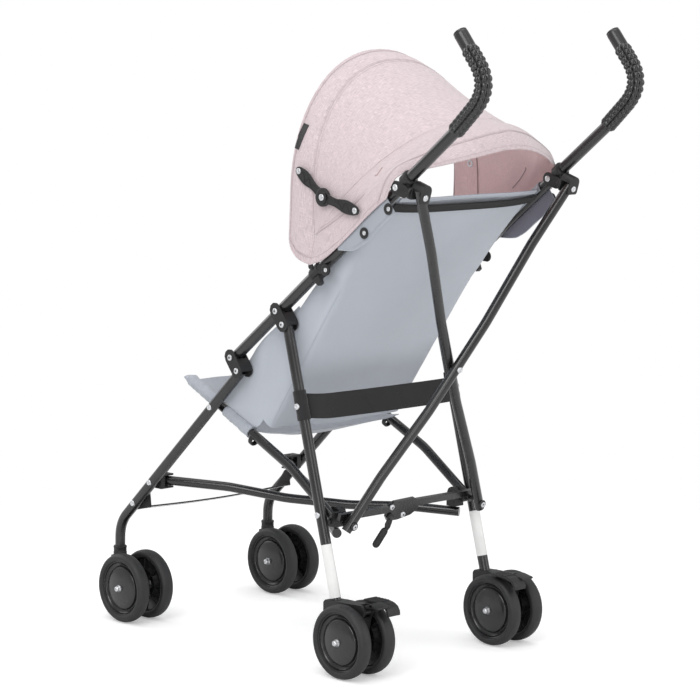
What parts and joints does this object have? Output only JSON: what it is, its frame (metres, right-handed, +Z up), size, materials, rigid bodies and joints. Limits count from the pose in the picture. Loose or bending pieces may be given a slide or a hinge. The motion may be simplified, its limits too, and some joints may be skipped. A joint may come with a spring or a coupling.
{
  "type": "lightweight stroller",
  "caption": "Umbrella-fold child stroller: two tube side frames, crossed folding struts, sling seat, hooped canopy, paired wheels and hook grips.",
  "frame": {"origin": "middle of the width and of the whole length, on the floor", "axes": "+Z up, the front faces -Y, the child's left side is +X"},
  "size_m": [0.4444, 0.9136, 1.048],
  "materials": {
    "frame_paint": "satin black powder coat",
    "black_plastic": "moulded black plastic",
    "grip_foam": "ribbed black grip",
    "wheel_plastic": "black wheel",
    "black_webbing": "woven webbing",
    "seat_fabric": "light grey woven polyester",
    "canopy_fabric": "pink melange woven polyester"
  },
  "bodies": {
    "left_frame": {"handle_tube_left": "frame_paint", "hand_grip_left": "grip_foam", "knee_bracket_left": "black_plastic", "shoulder_bracket_left": "black_plastic", "canopy_clip_left": "black_plastic", "seat_back": "seat_fabric", "head_webbing": "black_webbing", "canopy_rear": "canopy_fabric"},
    "right_frame": {"handle_tube_right": "frame_paint", "hand_grip_right": "grip_foam", "knee_bracket_right": "black_plastic", "shoulder_bracket_right": "black_plastic", "canopy_clip_right": "black_plastic"},
    "top_yoke_left": {"top_yoke_left": "black_plastic"},
    "rear_leg_left": {"rear_leg_left": "frame_paint", "rear_housing_left": "black_plastic", "rear_band": "black_webbing"},
    "front_leg_left": {"front_leg_left": "frame_paint", "footrest_strap": "black_webbing"},
    "seat_rail_left": {"seat_rail_left": "frame_paint", "seat_pan": "seat_fabric"},
    "rear_yoke_left": {"rear_yoke_left": "black_plastic"},
    "lower_yoke_left": {"lower_yoke_left": "black_plastic"},
    "front_yoke_left": {"front_yoke_left": "black_plastic"},
    "top_yoke_right": {"top_yoke_right": "black_plastic"},
    "rear_leg_right": {"rear_leg_right": "frame_paint", "rear_housing_right": "black_plastic"},
    "front_leg_right": {"front_leg_right": "frame_paint"},
    "seat_rail_right": {"seat_rail_right": "frame_paint"},
    "rear_yoke_right": {"rear_yoke_right": "black_plastic"},
    "lower_yoke_right": {"lower_yoke_right": "black_plastic"},
    "front_yoke_right": {"front_yoke_right": "black_plastic"},
    "back_strut_a": {"back_strut_a": "frame_paint"},
    "under_strut_a": {"under_strut_a": "frame_paint"},
    "crossbar_left": {"crossbar_left": "frame_paint"},
    "back_strut_b": {"back_strut_b": "frame_paint"},
    "under_strut_b": {"under_strut_b": "frame_paint"},
    "crossbar_right": {"crossbar_right": "frame_paint"},
    "release_lever": {"release_lever": "black_plastic"},
    "caster_left": {"caster_left": "black_plastic"},
    "front_wheel_outer_left": {"front_wheel_outer_left": "wheel_plastic"},
    "rear_wheel_outer_left": {"rear_wheel_outer_left": "wheel_plastic"},
    "front_wheel_inner_left": {"front_wheel_inner_left": "wheel_plastic"},
    "rear_wheel_inner_left": {"rear_wheel_inner_left": "wheel_plastic"},
    "brake_pedal_left": {"brake_pedal_left": "black_plastic"},
    "caster_right": {"caster_right": "black_plastic"},
    "front_wheel_outer_right": {"front_wheel_outer_right": "wheel_plastic"},
    "rear_wheel_outer_right": {"rear_wheel_outer_right": "wheel_plastic"},
    "front_wheel_inner_right": {"front_wheel_inner_right": "wheel_plastic"},
    "rear_wheel_inner_right": {"rear_wheel_inner_right": "wheel_plastic"},
    "brake_pedal_right": {"brake_pedal_right": "black_plastic"},
    "canopy_front": {"canopy_front": "canopy_fabric"},
    "canopy_top": {"canopy_top": "canopy_fabric"},
    "stay_rear_left": {"stay_rear_left": "black_plastic"},
    "stay_front_left": {"stay_front_left": "black_plastic"},
    "stay_rear_right": {"stay_rear_right": "black_plastic"},
    "stay_front_right": {"stay_front_right": "black_plastic"}
  },
  "joints": [
    {"name": "side_fold", "type": "slide", "parent": "left_frame", "child": "right_frame", "axis": [1, 0, 0], "range_m": [0, 0.13], "deforming": ["seat_back", "head_webbing", "canopy_rear", "canopy_top", "canopy_front", "rear_band", "footrest_strap", "seat_pan"]},
    {"name": "top_yoke_left_tilt", "type": "hinge", "parent": "left_frame", "child": "top_yoke_left", "pos_m": [0.176, 0.26343, 0.79886], "axis": [1, 0, 0], "range_deg": [-10.54, 0]},
    {"name": "rear_leg_left_swing", "type": "hinge", "parent": "left_frame", "child": "rear_leg_left", "pos_m": [0.176, 0.00124, 0.56117], "axis": [1, 0, 0], "range_deg": [-22.21, 0]},
    {"name": "front_leg_left_swing", "type": "hinge", "parent": "left_frame", "child": "front_leg_left", "pos_m": [0.176, -0.11152, 0.47339], "axis": [1, 0, 0], "range_deg": [-55.58, 0]},
    {"name": "seat_rail_left_turn", "type": "hinge", "parent": "rear_leg_left", "child": "seat_rail_left", "pos_m": [0.157, 0.08294, 0.25498], "axis": [1, 0, 0], "range_deg": [-3.36, 0]},
    {"name": "rear_yoke_left_tilt", "type": "hinge", "parent": "rear_leg_left", "child": "rear_yoke_left", "pos_m": [0.144, 0.08294, 0.25498], "axis": [1, 0, 0], "range_deg": [0, 11.8]},
    {"name": "lower_yoke_left_tilt", "type": "hinge", "parent": "rear_leg_left", "child": "lower_yoke_left", "pos_m": [0.134, 0.08294, 0.25498], "axis": [1, 0, 0], "range_deg": [-14.69, 0]},
    {"name": "front_yoke_left_tilt", "type": "hinge", "parent": "front_leg_left", "child": "front_yoke_left", "pos_m": [0.16, -0.34789, 0.25297], "axis": [1, 0, 0], "range_deg": [0, 18.3]},
    {"name": "top_yoke_right_tilt", "type": "hinge", "parent": "right_frame", "child": "top_yoke_right", "pos_m": [-0.176, 0.26343, 0.79886], "axis": [1, 0, 0], "range_deg": [-10.54, 0]},
    {"name": "rear_leg_right_swing", "type": "hinge", "parent": "right_frame", "child": "rear_leg_right", "pos_m": [-0.176, 0.00124, 0.56117], "axis": [1, 0, 0], "range_deg": [-22.21, 0]},
    {"name": "front_leg_right_swing", "type": "hinge", "parent": "right_frame", "child": "front_leg_right", "pos_m": [-0.176, -0.11152, 0.47339], "axis": [1, 0, 0], "range_deg": [-55.58, 0]},
    {"name": "seat_rail_right_turn", "type": "hinge", "parent": "rear_leg_right", "child": "seat_rail_right", "pos_m": [-0.157, 0.08294, 0.25498], "axis": [1, 0, 0], "range_deg": [-3.36, 0]},
    {"name": "rear_yoke_right_tilt", "type": "hinge", "parent": "rear_leg_right", "child": "rear_yoke_right", "pos_m": [-0.144, 0.08294, 0.25498], "axis": [1, 0, 0], "range_deg": [0, 11.8]},
    {"name": "lower_yoke_right_tilt", "type": "hinge", "parent": "rear_leg_right", "child": "lower_yoke_right", "pos_m": [-0.134, 0.08294, 0.25498], "axis": [1, 0, 0], "range_deg": [-14.69, 0]},
    {"name": "front_yoke_right_tilt", "type": "hinge", "parent": "front_leg_right", "child": "front_yoke_right", "pos_m": [-0.16, -0.34789, 0.25297], "axis": [1, 0, 0], "range_deg": [0, 18.3]},
    {"name": "back_strut_a_turn", "type": "hinge", "parent": "top_yoke_left", "child": "back_strut_a", "pos_m": [0.1717, 0.3017, 0.7873], "axis": [0, 0.9519, -0.3063], "range_deg": [-12.75, 0]},
    {"name": "under_strut_a_turn", "type": "hinge", "parent": "front_yoke_left", "child": "under_strut_a", "pos_m": [0.1455, -0.34789, 0.25297], "axis": [0, 0, 1], "range_deg": [-16.63, 0]},
    {"name": "crossbar_left_break", "type": "hinge", "parent": "rear_yoke_left", "child": "crossbar_left", "pos_m": [0.1506, 0.11294, 0.24638], "axis": [0, 0.9519, -0.3063], "range_deg": [0, 67.5]},
    {"name": "back_strut_b_turn", "type": "hinge", "parent": "top_yoke_right", "child": "back_strut_b", "pos_m": [-0.1717, 0.3017, 0.7873], "axis": [0, 0.9519, -0.3063], "range_deg": [0, 12.75]},
    {"name": "under_strut_b_turn", "type": "hinge", "parent": "front_yoke_right", "child": "under_strut_b", "pos_m": [-0.1455, -0.34789, 0.25297], "axis": [0, 0, 1], "range_deg": [0, 16.63]},
    {"name": "crossbar_right_break", "type": "hinge", "parent": "rear_yoke_right", "child": "crossbar_right", "pos_m": [-0.1506, 0.10552, 0.24877], "axis": [0, 0.9519, -0.3063], "range_deg": [-45.27, 0]},
    {"name": "release_lever_turn", "type": "hinge", "parent": "crossbar_left", "child": "release_lever", "pos_m": [0.05, 0.11678, 0.23937], "axis": [0, 0.9519, -0.3063], "range_deg": [-25, 0]},
    {"name": "caster_left_swivel", "type": "hinge", "parent": "front_leg_left", "child": "caster_left", "pos_m": [0.176, -0.4393, 0.1117], "axis": [0, 0, 1], "continuous": true},
    {"name": "front_wheel_outer_left_spin", "type": "hinge", "parent": "caster_left", "child": "front_wheel_outer_left", "pos_m": [0.176, -0.3958, 0.061], "axis": [1, 0, 0], "continuous": true},
    {"name": "rear_wheel_outer_left_spin", "type": "hinge", "parent": "rear_leg_left", "child": "rear_wheel_outer_left", "pos_m": [0.176, 0.1622, 0.061], "axis": [1, 0, 0], "continuous": true},
    {"name": "front_wheel_inner_left_spin", "type": "hinge", "parent": "caster_left", "child": "front_wheel_inner_left", "pos_m": [0.176, -0.3958, 0.061], "axis": [1, 0, 0], "continuous": true},
    {"name": "rear_wheel_inner_left_spin", "type": "hinge", "parent": "rear_leg_left", "child": "rear_wheel_inner_left", "pos_m": [0.176, 0.1622, 0.061], "axis": [1, 0, 0], "continuous": true},
    {"name": "brake_pedal_left_press", "type": "hinge", "parent": "rear_leg_left", "child": "brake_pedal_left", "pos_m": [0.176, 0.1902, 0.112], "axis": [1, 0, 0], "range_deg": [-12, 0]},
    {"name": "caster_right_swivel", "type": "hinge", "parent": "front_leg_right", "child": "caster_right", "pos_m": [-0.176, -0.4393, 0.1117], "axis": [0, 0, 1], "continuous": true},
    {"name": "front_wheel_outer_right_spin", "type": "hinge", "parent": "caster_right", "child": "front_wheel_outer_right", "pos_m": [-0.176, -0.3958, 0.061], "axis": [1, 0, 0], "continuous": true},
    {"name": "rear_wheel_outer_right_spin", "type": "hinge", "parent": "rear_leg_right", "child": "rear_wheel_outer_right", "pos_m": [-0.176, 0.1622, 0.061], "axis": [1, 0, 0], "continuous": true},
    {"name": "front_wheel_inner_right_spin", "type": "hinge", "parent": "caster_right", "child": "front_wheel_inner_right", "pos_m": [-0.176, -0.3958, 0.061], "axis": [1, 0, 0], "continuous": true},
    {"name": "rear_wheel_inner_right_spin", "type": "hinge", "parent": "rear_leg_right", "child": "rear_wheel_inner_right", "pos_m": [-0.176, 0.1622, 0.061], "axis": [1, 0, 0], "continuous": true},
    {"name": "brake_pedal_right_press", "type": "hinge", "parent": "rear_leg_right", "child": "brake_pedal_right", "pos_m": [-0.176, 0.1902, 0.112], "axis": [1, 0, 0], "range_deg": [-12, 0]},
    {"name": "canopy_fold", "type": "hinge", "parent": "left_frame", "child": "canopy_front", "pos_m": [0, 0.0691, 0.66], "axis": [1, 0, 0], "range_deg": [-40, 0], "deforming": ["canopy_front", "canopy_top", "canopy_rear"]},
    {"name": "canopy_top_fold", "type": "hinge", "parent": "left_frame", "child": "canopy_top", "pos_m": [0, 0.0691, 0.66], "axis": [1, 0, 0], "range_deg": [-20.1, 0]},
    {"name": "stay_rear_left_turn", "type": "hinge", "parent": "left_frame", "child": "stay_rear_left", "pos_m": [0.199, 0.1839, 0.7587], "axis": [1, 0, 0], "range_deg": [0, 27.5]},
    {"name": "stay_front_left_turn", "type": "hinge", "parent": "stay_rear_left", "child": "stay_front_left", "pos_m": [0.196, 0.1074, 0.7758], "axis": [1, 0, 0], "range_deg": [-124.6, 0]},
    {"name": "stay_rear_right_turn", "type": "hinge", "parent": "right_frame", "child": "stay_rear_right", "pos_m": [-0.199, 0.1839, 0.7587], "axis": [1, 0, 0], "range_deg": [0, 27.5]},
    {"name": "stay_front_right_turn", "type": "hinge", "parent": "stay_rear_right", "child": "stay_front_right", "pos_m": [-0.196, 0.1074, 0.7758], "axis": [1, 0, 0], "range_deg": [-124.6, 0]}
  ],
  "couplings": [
    {"joint": "top_yoke_left_tilt", "follows": "side_fold", "rad_per_m": -1.3747},
    {"joint": "rear_leg_left_swing", "follows": "side_fold", "rad_per_m": -2.9415},
    {"joint": "front_leg_left_swing", "follows": "side_fold", "rad_per_m": -7.4217},
    {"joint": "seat_rail_left_turn", "follows": "side_fold", "rad_per_m": -0.4113},
    {"joint": "rear_yoke_left_tilt", "follows": "side_fold", "rad_per_m": 1.5446},
    {"joint": "lower_yoke_left_tilt", "follows": "side_fold", "rad_per_m": -1.9315},
    {"joint": "front_yoke_left_tilt", "follows": "side_fold", "rad_per_m": 2.4161},
    {"joint": "top_yoke_right_tilt", "follows": "side_fold", "rad_per_m": -1.3747},
    {"joint": "rear_leg_right_swing", "follows": "side_fold", "rad_per_m": -2.9415},
    {"joint": "front_leg_right_swing", "follows": "side_fold", "rad_per_m": -7.4217},
    {"joint": "seat_rail_right_turn", "follows": "side_fold", "rad_per_m": -0.4113},
    {"joint": "rear_yoke_right_tilt", "follows": "side_fold", "rad_per_m": 1.5446},
    {"joint": "lower_yoke_right_tilt", "follows": "side_fold", "rad_per_m": -1.9315},
    {"joint": "front_yoke_right_tilt", "follows": "side_fold", "rad_per_m": 2.4161},
    {"joint": "back_strut_a_turn", "follows": "side_fold", "rad_per_m": -1.6713},
    {"joint": "under_strut_a_turn", "follows": "side_fold", "rad_per_m": -2.1926},
    {"joint": "crossbar_left_break", "follows": "side_fold", "rad_per_m": 9.022},
    {"joint": "back_strut_b_turn", "follows": "side_fold", "rad_per_m": 1.6713},
    {"joint": "under_strut_b_turn", "follows": "side_fold", "rad_per_m": 2.1926},
    {"joint": "crossbar_right_break", "follows": "side_fold", "rad_per_m": -6.038},
    {"joint": "canopy_top_fold", "follows": "canopy_fold", "ratio": 0.5},
    {"joint": "stay_rear_left_turn", "follows": "canopy_fold", "ratio": -0.6825},
    {"joint": "stay_front_left_turn", "follows": "canopy_fold", "ratio": 3.1075},
    {"joint": "stay_rear_right_turn", "follows": "canopy_fold", "ratio": -0.6825},
    {"joint": "stay_front_right_turn", "follows": "canopy_fold", "ratio": 3.1075}
  ]
}
